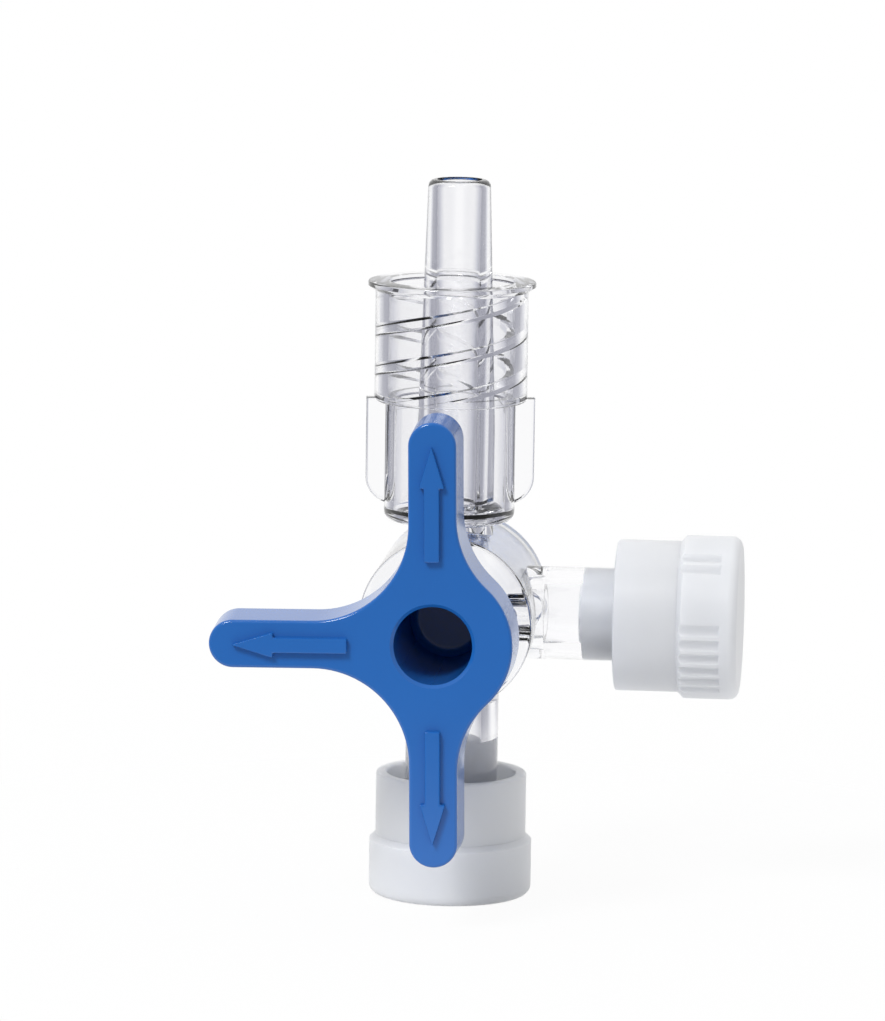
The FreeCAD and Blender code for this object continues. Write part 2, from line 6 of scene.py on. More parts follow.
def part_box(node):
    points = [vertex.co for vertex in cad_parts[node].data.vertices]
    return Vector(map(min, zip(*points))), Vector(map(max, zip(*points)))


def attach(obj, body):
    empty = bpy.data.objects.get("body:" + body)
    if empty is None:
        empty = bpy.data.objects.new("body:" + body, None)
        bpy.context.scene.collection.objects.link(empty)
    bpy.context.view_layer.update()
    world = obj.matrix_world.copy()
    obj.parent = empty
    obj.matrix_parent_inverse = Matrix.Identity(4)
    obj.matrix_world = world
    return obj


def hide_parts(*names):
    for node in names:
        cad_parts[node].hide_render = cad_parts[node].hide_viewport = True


# Three way stopcock. The frame comes first: every piece below sits where its CAD node is.
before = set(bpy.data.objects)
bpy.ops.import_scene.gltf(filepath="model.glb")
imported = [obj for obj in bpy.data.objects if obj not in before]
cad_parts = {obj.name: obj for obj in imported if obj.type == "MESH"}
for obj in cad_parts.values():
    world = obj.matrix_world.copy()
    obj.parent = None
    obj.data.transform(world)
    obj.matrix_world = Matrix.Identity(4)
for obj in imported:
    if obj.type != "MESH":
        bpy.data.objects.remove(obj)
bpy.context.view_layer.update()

# Sizes are written in millimetres, and the scene is in metres
MM = 0.001


# Housing
# One clear polycarbonate moulding: the barrel that the tap turns in, a female luer port to the
# right and one below, each with two lugs for a cap or syringe, and the male luer on its stem.
# It is injection moulded in a polished tool, so every face is glossy and every edge a little soft.

low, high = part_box("side_port_cap")
CAP_END = high.x / MM
CROSSING = Vector((0, 0, (low.z + high.z) / 2))
low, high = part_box("housing")
BARREL_FRONT = -low.y / MM
BARREL_BACK = high.y / MM
PORT_REACH = high.x / MM
LUER_REACH = (high.z - CROSSING.z) / MM
BARREL_RADIUS = 5.5
BARREL_BORE = 3.9
BARREL_EDGE = 0.2
SNAP_FROM_FRONT = 0.5
SNAP_WIDTH = 0.8
SNAP_DEPTH = 0.15
SNAP_PLAY = 0.1
TUBE_RADIUS = 2.95
MOUTH_RADIUS = 3.3
MOUTH_LENGTH = 3.4
MOUTH_SLOPE = 0.74
MOUTH_BORE = 2.16
MOUTH_EDGE = 0.15
SEAT_DEPTH = 10.9
LUER_TAPER = 0.03
PORT_BORE = 1.5
LUG_RADIUS = 3.9
LUG_ROOT = 1.1
LUG_CREST = 0.5
LUG_SINK = 0.1
LUG_FROM_MOUTH = 2.2
LUG_RISE = 1.5
THREAD_LEAD = 5.0
STEM_RADIUS = 2.45
STOP_RING_RADIUS = 3.0
STOP_RING_START = 6.6
STOP_RING_RISE = 0.45
LUER_TIP_RADIUS = 1.98
LUER_TIP_ROUND = 0.45
LUER_BORE = 1.42
STEM_BORE = 1.25
INSIDE = 1.9
BEYOND = 1.5
SPOKES = 144
TURN_STEPS = 96
TWIST = 1


def draw(name, start, strokes):
    """A line drawn in the XZ plane, in millimetres, by straight strokes (x, z) and arcs. An arc is
    ((centre x, centre z), degrees, steps) and turns anticlockwise as seen from the front."""
    bpy.ops.object.select_all(action="DESELECT")
    bpy.ops.mesh.primitive_plane_add(size=MM)
    thing = bpy.context.object
    thing.name = name
    bpy.ops.object.mode_set(mode="EDIT")
    bpy.ops.mesh.merge(type="CENTER")
    here = Vector((start[0], 0, start[1])) * MM
    bpy.ops.transform.translate(value=here)
    for stroke in strokes:
        if len(stroke) == 3:
            (across, up), turn, steps = stroke
            centre = Vector((across, 0, up)) * MM
            bpy.ops.mesh.spin(steps=steps, angle=math.radians(turn), center=centre, axis=(0, 1, 0))
            here = centre + Matrix.Rotation(math.radians(-turn), 3, "Y") @ (here - centre)
        else:
            there = Vector((stroke[0], 0, stroke[1])) * MM
            bpy.ops.mesh.extrude_vertices_move(TRANSFORM_OT_translate={"value": there - here})
            here = there
    return thing


def lathe(thing, spokes=SPOKES, twist=0):
    """Spin a drawn half outline all the way round Z, and close its seam and poles.
    A twist, in degrees, keeps the spokes of a hole off the spokes of what it is cut from."""
    bpy.ops.mesh.select_all(action="SELECT")
    bpy.ops.transform.rotate(value=math.radians(twist), orient_axis="Z", center_override=(0, 0, 0))
    bpy.ops.mesh.spin(steps=spokes, angle=math.tau, center=(0, 0, 0), axis=(0, 0, 1))
    bpy.ops.mesh.select_all(action="SELECT")
    bpy.ops.mesh.remove_doubles(threshold=MM / 1000)
    bpy.ops.mesh.normals_make_consistent(inside=False)
    bpy.ops.object.mode_set(mode="OBJECT")
    return thing


def aim(thing, turn=(0, 0, 0), move=(0, 0, 0)):
    """Turn a piece about the world's axes, in degrees, move it and bake both into its mesh."""
    bpy.ops.object.select_all(action="DESELECT")
    bpy.context.view_layer.objects.active = thing
    thing.select_set(True)
    thing.rotation_euler = [math.radians(angle) for angle in turn]
    thing.location = move
    bpy.ops.object.transform_apply(location=True, rotation=True, scale=True)
    return thing


def carve(thing, other, operation):
    """Join to, or cut from, a piece the solid of another, which is used up."""
    bpy.context.view_layer.objects.active = thing
    modifier = thing.modifiers.new(operation, "BOOLEAN")
    modifier.operation = operation
    modifier.solver = "EXACT"
    modifier.object = other
    bpy.ops.object.modifier_apply(modifier=modifier.name)
    bpy.data.objects.remove(other)
    return thing


def ridge(name, root, crest, root_width, crest_width, start, turns):
    """One start of a thread: a wedge shaped section screwed up Z, closed at both ends."""
    thing = draw(name, (root, start - root_width / 2), [
        (root, start + root_width / 2),
        (crest, start + crest_width / 2),
        (crest, start - crest_width / 2)])
    bpy.ops.mesh.select_all(action="SELECT")
    bpy.ops.mesh.edge_face_add()
    bpy.ops.mesh.delete(type="ONLY_FACE")
    bpy.ops.object.mode_set(mode="OBJECT")
    screw = thing.modifiers.new("screw", "SCREW")
    screw.angle = math.tau * turns
    screw.screw_offset = THREAD_LEAD * turns * MM
    screw.steps = screw.render_steps = math.ceil(TURN_STEPS * turns)
    bpy.ops.object.modifier_apply(modifier=screw.name)
    bpy.ops.object.mode_set(mode="EDIT")
    bpy.ops.mesh.select_all(action="DESELECT")
    bpy.ops.mesh.select_non_manifold()
    bpy.ops.mesh.edge_face_add()
    bpy.ops.mesh.select_all(action="SELECT")
    bpy.ops.mesh.normals_make_consistent(inside=False)
    bpy.ops.object.mode_set(mode="OBJECT")
    return thing


def smooth(thing, degrees=30):
    """Smooth shading that leaves long walls straight, with the turn kept to the small rounds."""
    bpy.ops.object.select_all(action="DESELECT")
    bpy.context.view_layer.objects.active = thing
    thing.select_set(True)
    bpy.ops.object.shade_smooth_by_angle(angle=math.radians(degrees))
    normals = thing.modifiers.new("normals", "WEIGHTED_NORMAL")
    normals.keep_sharp = True
    bpy.ops.object.modifier_apply(modifier=normals.name)
    return thing


def female_port(name):
    """The outside of a port, with its mouth up Z and two short lugs round the mouth."""
    tube = lathe(draw(name, (0, 0), [
        (TUBE_RADIUS, 0),
        (TUBE_RADIUS, PORT_REACH - MOUTH_LENGTH - MOUTH_SLOPE),
        (MOUTH_RADIUS, PORT_REACH - MOUTH_LENGTH),
        (MOUTH_RADIUS, PORT_REACH - MOUTH_EDGE),
        ((MOUTH_RADIUS - MOUTH_EDGE, PORT_REACH - MOUTH_EDGE), 90, 4),
        (0, PORT_REACH)]))
    for start in (0, 180):
        lug = ridge("lug", MOUTH_RADIUS - LUG_SINK, LUG_RADIUS, LUG_ROOT, LUG_CREST,
                    PORT_REACH - LUG_FROM_MOUTH, LUG_RISE / THREAD_LEAD)
        carve(tube, aim(lug, (0, 0, start)), "UNION")
    return tube


def port_hole(name):
    """The hollow of a port, with its mouth up Z: a narrow passage and the tapered luer seat."""
    seat = PORT_REACH - SEAT_DEPTH
    return lathe(draw(name, (0, INSIDE), [
        (PORT_BORE, INSIDE),
        (PORT_BORE, seat),
        (MOUTH_BORE - LUER_TAPER * SEAT_DEPTH, seat),
        (MOUTH_BORE, PORT_REACH),
        (MOUTH_BORE, PORT_REACH + BEYOND),
        (0, PORT_REACH + BEYOND)]), twist=TWIST)


TO_FRONT = (90, 0, 0)
TO_SIDE = (0, 90, 0)
DOWN = (180, 0, 0)
housing = aim(lathe(draw("clear_housing", (0, -BARREL_BACK), [
    (BARREL_RADIUS - BARREL_EDGE, -BARREL_BACK),
    ((BARREL_RADIUS - BARREL_EDGE, BARREL_EDGE - BARREL_BACK), 90, 4),
    (BARREL_RADIUS, BARREL_FRONT - BARREL_EDGE),
    ((BARREL_RADIUS - BARREL_EDGE, BARREL_FRONT - BARREL_EDGE), 90, 4),
    (0, BARREL_FRONT)])), TO_FRONT)
stem = lathe(draw("stem", (0, 0), [
    (STEM_RADIUS, 0),
    (STEM_RADIUS, STOP_RING_START),
    (STOP_RING_RADIUS, STOP_RING_START),
    (STOP_RING_RADIUS, STOP_RING_START + STOP_RING_RISE / 3),
    (STEM_RADIUS, STOP_RING_START + STOP_RING_RISE),
    (STEM_RADIUS, LUER_REACH - (STEM_RADIUS - LUER_TIP_RADIUS) / LUER_TAPER),
    (LUER_TIP_RADIUS, LUER_REACH - LUER_TIP_ROUND),
    ((LUER_TIP_RADIUS - LUER_TIP_ROUND, LUER_REACH - LUER_TIP_ROUND), 90, 8),
    (0, LUER_REACH)]))
stem_hole = lathe(draw("stem_hole", (0, INSIDE), [
    (STEM_BORE, INSIDE),
    (LUER_BORE, LUER_REACH),
    (LUER_BORE, LUER_REACH + BEYOND),
    (0, LUER_REACH + BEYOND)]), twist=TWIST)
snap = BARREL_BORE - SNAP_DEPTH
snap_start = BARREL_FRONT - SNAP_FROM_FRONT - SNAP_WIDTH
barrel_hole = aim(lathe(draw("barrel_hole", (0, -BARREL_BACK - BEYOND), [
    (BARREL_BORE, -BARREL_BACK - BEYOND),
    (BARREL_BORE, snap_start),
    (snap, snap_start + SNAP_DEPTH),
    (snap, snap_start + SNAP_WIDTH - SNAP_DEPTH),
    (BARREL_BORE, snap_start + SNAP_WIDTH),
    (BARREL_BORE, BARREL_FRONT + BEYOND),
    (0, BARREL_FRONT + BEYOND)]), twist=TWIST), TO_FRONT)
carve(housing, stem, "UNION")
carve(housing, aim(female_port("side_tube"), TO_SIDE), "UNION")
carve(housing, aim(female_port("lower_tube"), DOWN), "UNION")
carve(housing, stem_hole, "DIFFERENCE")
carve(housing, aim(port_hole("side_hole"), TO_SIDE), "DIFFERENCE")
carve(housing, aim(port_hole("lower_hole"), DOWN), "DIFFERENCE")
carve(housing, barrel_hole, "DIFFERENCE")
smooth(aim(housing, move=CROSSING))


def from_hex(code):
    """The linear colour of an sRGB hex value."""
    parts = [int(code[start:start + 2], 16) / 255 for start in (1, 3, 5)]
    return [part / 12.92 if part <= 0.04045 else ((part + 0.055) / 1.055) ** 2.4
            for part in parts] + [1]


def add(tree, kind, settings=None, **links):
    """Add one node, set its values, and link its inputs from other nodes' outputs."""
    node = tree.nodes.new(kind)
    for name, value in (settings or {}).items():
        if name in node.inputs:
            node.inputs[name].default_value = value
        else:
            setattr(node, name, value)
    for name, source in links.items():
        tree.links.new(source, node.inputs[name.replace("_", " ")])
    return node


def new_material(name, shader_values):
    """A material with one principled shader. Returns its node tree, the shader and the output."""
    material = bpy.data.materials.new(name)
    material.use_nodes = True
    tree = material.node_tree
    tree.nodes.clear()
    shader = add(tree, "ShaderNodeBsdfPrincipled", shader_values)
    out = add(tree, "ShaderNodeOutputMaterial")
    tree.links.new(shader.outputs["BSDF"], out.inputs["Surface"])
    return tree, shader, out


def wear(thing, name):
    """Put a material on a piece, over the whole of it."""
    thing.data.materials.clear()
    thing.data.materials.append(bpy.data.materials[name])


# Clear polycarbonate, injection moulded in a polished tool: water clear, with a high index that
# bends the background into grey bands, and a faint waviness where the melt flowed.
CLEAR = "#FEFEFF"
CLEAR_SHADE = "#EEF0F2"
FLOW_SCALE = 260
FLOW_DEPTH = 0.00005
tree, shader, out = new_material("clear polycarbonate", {
    "Base Color": from_hex(CLEAR),
    "Roughness": 0.03,
    "IOR": 1.585,
    "Transmission Weight": 1.0})
coordinates = add(tree, "ShaderNodeTexCoord")
flow = add(tree, "ShaderNodeTexNoise", {"Scale": FLOW_SCALE, "Detail": 1.0},
           Vector=coordinates.outputs["Object"])
bump = add(tree, "ShaderNodeBump", {"Strength": 0.06, "Distance": FLOW_DEPTH},
           Height=flow.outputs["Fac"])
tree.links.new(bump.outputs["Normal"], shader.inputs["Normal"])
# Light from a lamp goes on through a clear wall to what is inside
lit_through = add(tree, "ShaderNodeMixShader")
shade = add(tree, "ShaderNodeBsdfTransparent", {"Color": from_hex(CLEAR_SHADE)})
tree.links.new(add(tree, "ShaderNodeLightPath").outputs["Is Shadow Ray"], lit_through.inputs[0])
tree.links.new(shader.outputs["BSDF"], lit_through.inputs[1])
tree.links.new(shade.outputs[0], lit_through.inputs[2])
tree.links.new(lit_through.outputs[0], out.inputs["Surface"])
wear(housing, "clear polycarbonate")
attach(housing, "housing")
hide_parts("housing")


# Lock collar
# A second clear polycarbonate moulding, loose on the stem. It turns by its two thin wings to draw
# a syringe or line on, with a coarse two start thread in its socket and a thin lip at its rim.

COLLAR_SHIFT = -0.38
COLLAR_TURN = 8
COLLAR_BOTTOM = 5.8
COLLAR_STEP = 13.45
COLLAR_RIM = 21.1
UPPER_RADIUS = 4.85
LOWER_RADIUS = 4.15
FOOT_ROUND = 0.6
STEP_ROUND = 0.25
LIP_RADIUS = 5.32
LIP_THICKNESS = 0.3
LIP_EDGE = 0.1
SOCKET_RADIUS = 4.0
SOCKET_DEPTH = 7.2
SOCKET_FLOOR = COLLAR_RIM - SOCKET_DEPTH
COLLAR_BORE = 3.55
NECK_BORE = 2.9
NECK_HEIGHT = 0.5
NECK_TOP = COLLAR_BOTTOM + NECK_HEIGHT
COLLAR_THREAD_CREST = 3.5
COLLAR_THREAD_SINK = 0.05
COLLAR_THREAD_ROOT_WIDTH = 0.85
COLLAR_THREAD_CREST_WIDTH = 0.45
COLLAR_THREAD_START = 12.95
COLLAR_THREAD_RISE = 7.45
WING_REACH = 5.35
WING_THICKNESS = 1.1
WING_BOTTOM = 6.9
WING_RISE = 0.2
WING_TOP = COLLAR_STEP + WING_RISE
WING_ROUND = 1.7
WING_EDGE = 0.2

collar = lathe(draw("clear_collar", (NECK_BORE, COLLAR_BOTTOM), [
    (LOWER_RADIUS - FOOT_ROUND, COLLAR_BOTTOM),
    ((LOWER_RADIUS - FOOT_ROUND, COLLAR_BOTTOM + FOOT_ROUND), 90, 6),
    (LOWER_RADIUS, COLLAR_STEP),
    (UPPER_RADIUS - STEP_ROUND, COLLAR_STEP),
    ((UPPER_RADIUS - STEP_ROUND, COLLAR_STEP + STEP_ROUND), 90, 4),
    (UPPER_RADIUS, COLLAR_RIM - LIP_THICKNESS * 2),
    (LIP_RADIUS, COLLAR_RIM - LIP_THICKNESS),
    (LIP_RADIUS, COLLAR_RIM - LIP_EDGE),
    ((LIP_RADIUS - LIP_EDGE, COLLAR_RIM - LIP_EDGE), 90, 3),
    (SOCKET_RADIUS, COLLAR_RIM),
    (SOCKET_RADIUS, SOCKET_FLOOR),
    (COLLAR_BORE, SOCKET_FLOOR),
    (COLLAR_BORE, NECK_TOP + (COLLAR_BORE - NECK_BORE) / 2),
    (NECK_BORE, NECK_TOP),
    (NECK_BORE, COLLAR_BOTTOM)]), twist=TWIST)


def wing_ring(out, inset):
    """A wing's outline, drawn at a distance in front of its middle and narrowed by an inset."""
    ring = draw("wing_ring", (LOWER_RADIUS - WING_THICKNESS / 2, WING_BOTTOM + inset), [
        (WING_REACH - WING_ROUND, WING_BOTTOM + inset),
        ((WING_REACH - WING_ROUND, WING_BOTTOM + WING_ROUND), 90, 10),
        (WING_REACH - inset, WING_TOP - inset),
        (LOWER_RADIUS - WING_THICKNESS / 2, WING_TOP - inset)])
    bpy.ops.mesh.select_all(action="SELECT")
    bpy.ops.mesh.edge_face_add()
    bpy.ops.mesh.delete(type="ONLY_FACE")
    bpy.ops.object.mode_set(mode="OBJECT")
    return aim(ring, move=(0, -out * MM, 0))


def fill_rings(name, rings):
    """Join outlines into one object, with walls from each to the next and a face on each end."""
    bpy.ops.object.select_all(action="DESELECT")
    for ring in rings:
        ring.select_set(True)
    bpy.context.view_layer.objects.active = rings[0]
    bpy.ops.object.join()
    thing = bpy.context.object
    thing.name = name
    bpy.ops.object.mode_set(mode="EDIT")
    bpy.ops.mesh.select_all(action="SELECT")
    bpy.ops.mesh.bridge_edge_loops()
    bpy.ops.mesh.select_all(action="DESELECT")
    bpy.ops.mesh.select_non_manifold()
    bpy.ops.mesh.edge_face_add()
    bpy.ops.mesh.select_all(action="SELECT")
    bpy.ops.mesh.normals_make_consistent(inside=False)
    bpy.ops.object.mode_set(mode="OBJECT")
    return thing


for turn in (0, 180):
    rings = [wing_ring(side * (WING_THICKNESS / 2 - WING_EDGE * (1 - math.sin(bend))),
                       WING_EDGE * (1 - math.cos(bend)))
             for side, bends in ((-1, (90, 60, 30, 0)), (1, (0, 30, 60, 90)))
             for bend in map(math.radians, bends)]
    wing = fill_rings("wing", rings)
    carve(collar, aim(wing, (0, 0, turn)), "UNION")
    thread = ridge("thread", SOCKET_RADIUS + COLLAR_THREAD_SINK, COLLAR_THREAD_CREST,
                   COLLAR_THREAD_ROOT_WIDTH, COLLAR_THREAD_CREST_WIDTH,
                   COLLAR_THREAD_START, COLLAR_THREAD_RISE / THREAD_LEAD)
    carve(collar, aim(thread, (0, 0, turn)), "UNION")
smooth(aim(collar, (0, 0, COLLAR_TURN), CROSSING + Vector((COLLAR_SHIFT * MM, 0, 0))))
wear(collar, "clear polycarbonate")
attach(collar, "collar")
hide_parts("lock_collar")


# Tap
# One moulding in blue polyethylene: a three armed handle with a raised arrow on each arm, a round
# hub with a deep hole, and behind it the plug that turns in the barrel, crossed by its T passage.

HANDLE_FACE = 14.05
HANDLE_TURN = 0.94
ARM_DEPTH = 4.0
ARM_WIDTH = 3.2
ARM_REACH = 14.05
WEB_RADIUS = 5.9
HUB_RADIUS = 5.05
HANDLE_DRAFT = math.tan(math.radians(1.5))
HANDLE_EDGE = 0.2
BACK_EDGE = 0.08
HUB_HOLE_RADIUS = 2.45
HUB_HOLE_FLOOR = 2.9
HUB_HOLE_ROUND = 0.6
PLUG_RADIUS = 3.85
PLUG_SHORT = 0.3
PLUG_END = BARREL_BACK - PLUG_SHORT
PLUG_CHAMFER = 0.3
PASSAGE_RADIUS = 1.25
ARROW_START = 5.3
ARROW_POINT = 12.5
ARROW_HEAD_LENGTH = 2.6
ARROW_HEAD_WIDTH = 1.6
ARROW_SHAFT_WIDTH = 0.95
ARROW_HEIGHT = 0.45
ARROW_SINK = 0.1
ARROW_EDGE = 0.1
PASSAGE_SPOKES = 64


def handle_ring(out, inset):
    """The handle's outline, drawn at a distance out from the port lines, narrowed by an inset."""
    half = ARM_WIDTH / 2 - inset
    tip = ARM_REACH - ARM_WIDTH / 2
    web = WEB_RADIUS + inset
    middle = half + web
    hub = HUB_RADIUS - inset
    shoulder = math.sqrt((hub + web) ** 2 - middle ** 2)
    swing = math.degrees(math.atan2(shoulder, middle))
    ring = draw("handle_ring", (half, shoulder), [
        (half, tip),
        ((0, tip), 180, 32),
        (-half, middle),
        ((-middle, middle), -90, 24),
        (-tip, half),
        ((-tip, 0), 180, 32),
        (-middle, -half),
        ((-middle, -middle), -90, 24),
        (-half, -tip),
        ((0, -tip), 180, 32),
        (half, -shoulder),
        ((middle, -shoulder), -swing, 12),
        ((0, 0), 2 * swing, 48),
        ((middle, shoulder), -swing, 12)])
    bpy.ops.mesh.select_all(action="SELECT")
    bpy.ops.mesh.remove_doubles(threshold=MM / 1000)
    bpy.ops.object.mode_set(mode="OBJECT")
    return aim(ring, move=(0, -out * MM, 0))


rings = [handle_ring(HANDLE_FACE - ARM_DEPTH, BACK_EDGE),
         handle_ring(HANDLE_FACE - ARM_DEPTH + BACK_EDGE, BACK_EDGE * HANDLE_DRAFT)]
for angle in (0, 22.5, 45, 67.5, 90):
    bend = math.radians(angle)
    fall = HANDLE_EDGE * (1 - math.sin(bend))
    rings.append(handle_ring(
        HANDLE_FACE - fall,
        (ARM_DEPTH - fall) * HANDLE_DRAFT + HANDLE_EDGE * (1 - math.cos(bend))))
tap = fill_rings("blue_tap", rings)
plug = aim(lathe(draw("plug", (0, HANDLE_FACE - ARM_DEPTH / 2), [
    (PLUG_RADIUS, HANDLE_FACE - ARM_DEPTH / 2),
    (PLUG_RADIUS, snap_start + SNAP_WIDTH + SNAP_PLAY),
    (PLUG_RADIUS - SNAP_DEPTH, snap_start + SNAP_WIDTH + SNAP_PLAY - SNAP_DEPTH),
    (PLUG_RADIUS - SNAP_DEPTH, snap_start - SNAP_PLAY + SNAP_DEPTH),
    (PLUG_RADIUS, snap_start - SNAP_PLAY),
    (PLUG_RADIUS, PLUG_CHAMFER - PLUG_END),
    (PLUG_RADIUS - PLUG_CHAMFER, -PLUG_END),
    (0, -PLUG_END)])), TO_FRONT)
carve(tap, plug, "UNION")
for turn in (0, 90, 180):
    barbs = ARROW_POINT - ARROW_HEAD_LENGTH
    arrow = draw("arrow", (-ARROW_SHAFT_WIDTH / 2, ARROW_START), [
        (-ARROW_SHAFT_WIDTH / 2, barbs),
        (-ARROW_HEAD_WIDTH / 2, barbs),
        (0, ARROW_POINT),
        (ARROW_HEAD_WIDTH / 2, barbs),
        (ARROW_SHAFT_WIDTH / 2, barbs),
        (ARROW_SHAFT_WIDTH / 2, ARROW_START)])
    bpy.ops.mesh.select_all(action="SELECT")
    bpy.ops.mesh.edge_face_add()
    bpy.ops.mesh.extrude_region_move(
        TRANSFORM_OT_translate={"value": (0, -(ARROW_HEIGHT + ARROW_SINK) * MM, 0)})
    bpy.ops.mesh.select_all(action="SELECT")
    bpy.ops.mesh.normals_make_consistent(inside=False)
    bpy.ops.object.mode_set(mode="OBJECT")
    edges = arrow.modifiers.new("edges", "BEVEL")
    edges.width = ARROW_EDGE * MM
    edges.segments = 2
    bpy.ops.object.modifier_apply(modifier=edges.name)
    aim(arrow, move=(0, -(HANDLE_FACE - ARROW_SINK) * MM, 0))
    carve(tap, aim(arrow, (0, -turn, 0)), "UNION")
hub_hole = aim(lathe(draw("hub_hole", (0, HUB_HOLE_FLOOR), [
    (HUB_HOLE_RADIUS - HUB_HOLE_ROUND, HUB_HOLE_FLOOR),
    ((HUB_HOLE_RADIUS - HUB_HOLE_ROUND, HUB_HOLE_FLOOR + HUB_HOLE_ROUND), 90, 6),
    (HUB_HOLE_RADIUS, HANDLE_FACE - HANDLE_EDGE),
    (HUB_HOLE_RADIUS + HANDLE_EDGE, HANDLE_FACE),
    (HUB_HOLE_RADIUS + HANDLE_EDGE, HANDLE_FACE + BEYOND),
    (0, HANDLE_FACE + BEYOND)])), TO_FRONT)
carve(tap, hub_hole, "DIFFERENCE")
carve(tap, lathe(draw("through", (0, -BARREL_BORE), [
    (PASSAGE_RADIUS, -BARREL_BORE),
    (PASSAGE_RADIUS, BARREL_BORE),
    (0, BARREL_BORE)]), PASSAGE_SPOKES), "DIFFERENCE")
carve(tap, aim(lathe(draw("branch", (0, 0), [
    (PASSAGE_RADIUS, 0),
    (PASSAGE_RADIUS, BARREL_BORE),
    (0, BARREL_BORE)]), PASSAGE_SPOKES), (0, -90, 0)), "DIFFERENCE")
smooth(aim(tap, (0, -HANDLE_TURN, 0), CROSSING))

# Blue polyethylene: through coloured and glossy, as it left the tool, with a soft ripple that
# breaks up its highlights and a faint cloudiness in the colour.
BLUE = "#2066B6"
BLUE_CLOUD = "#1F62B0"
CLOUD_SCALE = 220
RIPPLE_SCALE = 900
RIPPLE_DEPTH = 0.00002
tree, shader, out = new_material("blue polyethylene", {"Roughness": 0.15, "IOR": 1.52})
coordinates = add(tree, "ShaderNodeTexCoord")
cloud = add(tree, "ShaderNodeTexNoise", {"Scale": CLOUD_SCALE, "Detail": 3.0},
            Vector=coordinates.outputs["Object"])
tint = add(tree, "ShaderNodeMix", {"data_type": "RGBA"})
tree.links.new(cloud.outputs["Fac"], tint.inputs[0])
tint.inputs[6].default_value = from_hex(BLUE)
tint.inputs[7].default_value = from_hex(BLUE_CLOUD)
tree.links.new(tint.outputs[2], shader.inputs["Base Color"])
ripple = add(tree, "ShaderNodeTexNoise", {"Scale": RIPPLE_SCALE, "Detail": 2.0},
             Vector=coordinates.outputs["Object"])
bump = add(tree, "ShaderNodeBump", {"Strength": 0.15, "Distance": RIPPLE_DEPTH},
           Height=ripple.outputs["Fac"])
tree.links.new(bump.outputs["Normal"], shader.inputs["Normal"])
wear(tap, "blue polyethylene")
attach(tap, "tap")
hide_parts("tap")


# Caps
# Two of the same white polyethylene moulding, pushed and turned on to the ports: a thin skirt, a
# thicker band with finger grooves, and inside a cone that plugs the luer seat.

CAP_LENGTH = 7.86
CAP_END_THICKNESS = 1.3
CAP_RIM = CAP_END - CAP_LENGTH
CAP_FLOOR = CAP_END - CAP_END_THICKNESS
SKIRT_RADIUS = 4.8
SKIRT_BORE = 4.1
CAP_RIM_ROUND = 0.15
BAND_LENGTH = 3.85
BAND_START = CAP_END - BAND_LENGTH
BAND_RADIUS = 5.18
BAND_SLOPE = 0.35
CAP_END_ROUND = 0.6
CONE_DEPTH = 8.8
CONE_SHORT = 0.15
# The cone presses into its seat, since a film of air between them would hide it
CONE_PRESS = 0.01
CONE_ROOT = MOUTH_BORE + CONE_PRESS
CONE_TIP = PORT_REACH - CONE_DEPTH + CONE_SHORT
CONE_TIP_RADIUS = CONE_ROOT - LUER_TAPER * (PORT_REACH - CONE_TIP)
CONE_TIP_ROUND = 0.2
GROOVE_CUTTER = 0.45
GROOVE_SPOKES = 32
GROOVE_DEPTH = 0.2
GROOVE_FROM_END = 1.1
GROOVE_END = CAP_END - GROOVE_FROM_END
# Where the grooves lie round the band, in degrees: six on one side and two on the other
GROOVE_STEP = 10.6
LONG_GROUP = [step * GROOVE_STEP for step in range(6)]
SHORT_GROUP_START = -45.4
SHORT_GROUP = [SHORT_GROUP_START, SHORT_GROUP_START - GROOVE_STEP]
GRIP_TURN = -89.4

cap = lathe(draw("white_side_cap", (0, CONE_TIP), [
    (CONE_TIP_RADIUS - CONE_TIP_ROUND, CONE_TIP),
    ((CONE_TIP_RADIUS - CONE_TIP_ROUND, CONE_TIP + CONE_TIP_ROUND), 90, 6),
    (CONE_ROOT, PORT_REACH),
    (CONE_ROOT, CAP_FLOOR),
    (SKIRT_BORE, CAP_FLOOR),
    (SKIRT_BORE, CAP_RIM + CAP_RIM_ROUND),
    ((SKIRT_BORE + CAP_RIM_ROUND, CAP_RIM + CAP_RIM_ROUND), 90, 5),
    (SKIRT_RADIUS - CAP_RIM_ROUND, CAP_RIM),
    ((SKIRT_RADIUS - CAP_RIM_ROUND, CAP_RIM + CAP_RIM_ROUND), 90, 5),
    (SKIRT_RADIUS, BAND_START),
    (BAND_RADIUS, BAND_START + BAND_SLOPE),
    (BAND_RADIUS, CAP_END - CAP_END_ROUND),
    ((BAND_RADIUS - CAP_END_ROUND, CAP_END - CAP_END_ROUND), 90, 12),
    (0, CAP_END)]))
for angle in LONG_GROUP + SHORT_GROUP:
    rod = lathe(draw("rod", (0, BAND_START), [
        (GROOVE_CUTTER, BAND_START),
        (GROOVE_CUTTER, GROOVE_END),
        (0, GROOVE_END)]), GROOVE_SPOKES)
    aim(rod, move=((BAND_RADIUS - GROOVE_DEPTH + GROOVE_CUTTER) * MM, 0, 0))
    carve(cap, aim(rod, (0, 0, angle + GRIP_TURN)), "DIFFERENCE")
smooth(cap)
bpy.ops.object.duplicate()
lower_cap = bpy.context.object
lower_cap.name = "white_bottom_cap"
aim(aim(cap, TO_SIDE), move=CROSSING)
aim(aim(lower_cap, DOWN), move=CROSSING)

